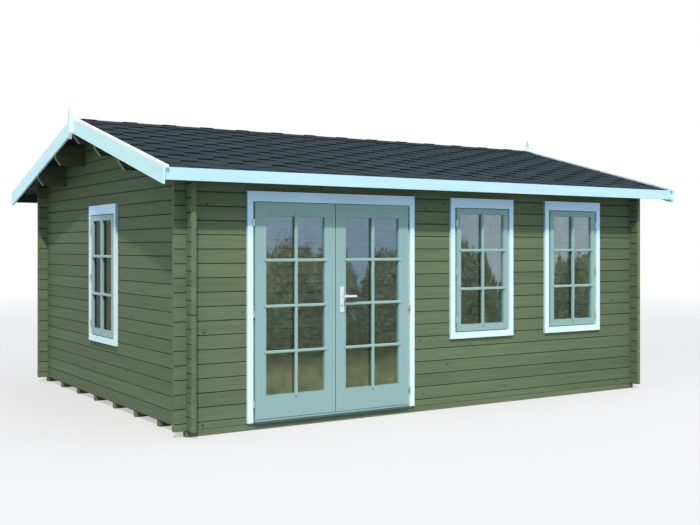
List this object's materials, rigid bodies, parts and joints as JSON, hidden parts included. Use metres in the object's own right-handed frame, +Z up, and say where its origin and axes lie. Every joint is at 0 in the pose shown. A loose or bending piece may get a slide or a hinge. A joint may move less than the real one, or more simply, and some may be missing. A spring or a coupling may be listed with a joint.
{
  "type": "log cabin",
  "caption": "Garden log cabin with notched corner logs, a low pitched shingle roof with bargeboards, a glazed pair of doors and barred windows.",
  "frame": {"origin": "centre of the footprint at ground level, on the underside of the foundation beams", "axes": "+X along the ridge towards the right gable as seen from the front, +Y from the front wall with the doors to the back wall, +Z up"},
  "size_m": [5.776, 4.49, 2.826],
  "materials": {
    "log_stain": "spruce log with a green translucent stain, matt",
    "beam_stain": "planed spruce with a green stain, matt",
    "floor_wood": "bare planed spruce boards",
    "roof_boards": "planed spruce boards with a green stain, matt",
    "shingle": "bitumen shingle with dark slate granules, matt",
    "pale_trim": "painted pale ice blue, satin",
    "joinery": "painted grey teal, satin",
    "threshold": "painted grey hardwood sill, satin",
    "glazing": "clear, smooth",
    "hinge_steel": "zinc plated, satin",
    "handle_metal": "satin anodised"
  },
  "bodies": {
    "cabin": {"back_barge_caps": "pale_trim", "back_bargeboards": "pale_trim", "back_roof_boards": "roof_boards", "back_shingles": "shingle", "back_wall_logs_even": "log_stain", "back_wall_logs_odd": "log_stain", "door_casing_head": "pale_trim", "door_casing_legs": "pale_trim", "door_head": "joinery", "door_hinge_pins": "hinge_steel", "door_jambs": "joinery", "door_stops": "joinery", "door_threshold": "threshold", "eave_fascias": "pale_trim", "finials": "pale_trim", "floor_deck": "floor_wood", "foundation_beams": "beam_stain", "front_barge_caps": "pale_trim", "front_bargeboards": "pale_trim", "front_roof_boards": "roof_boards", "front_shingles": "shingle", "front_wall_logs_even": "log_stain", "front_wall_logs_odd": "log_stain", "left_gable_logs_even": "log_stain", "left_gable_logs_odd": "log_stain", "purlins": "beam_stain", "ridge_strip": "shingle", "right_gable_logs_even": "log_stain", "right_gable_logs_odd": "log_stain", "window_casing_legs": "pale_trim", "window_casing_rails": "pale_trim", "window_frames": "joinery", "window_glass": "glazing", "window_sash_rails": "joinery", "window_sash_stiles": "joinery"},
    "left_door": {"left_leaf_stiles": "joinery", "left_leaf_rails": "joinery", "left_leaf_glass": "glazing", "left_leaf_knuckles": "hinge_steel"},
    "right_door": {"right_leaf_stiles": "joinery", "right_leaf_rails": "joinery", "right_leaf_glass": "glazing", "right_leaf_knuckles": "hinge_steel", "handle_plates": "handle_metal"},
    "door_lever": {"handle_lever": "handle_metal"}
  },
  "joints": [
    {"name": "left_door_hinge", "type": "hinge", "parent": "cabin", "child": "left_door", "pos_m": [-1.972, -1.982, 0.945], "axis": [0, 0, 1], "range_deg": [-110, 0]},
    {"name": "right_door_hinge", "type": "hinge", "parent": "cabin", "child": "right_door", "pos_m": [-0.4, -1.982, 0.945], "axis": [0, 0, 1], "range_deg": [0, 110]},
    {"name": "door_lever_turn", "type": "hinge", "parent": "right_door", "child": "door_lever", "pos_m": [-1.124, -1.95, 1.072], "axis": [0, 1, 0], "range_deg": [0, 40], "stiffness_Nm_per_rad": 1.5, "springref_deg": -20.05}
  ]
}
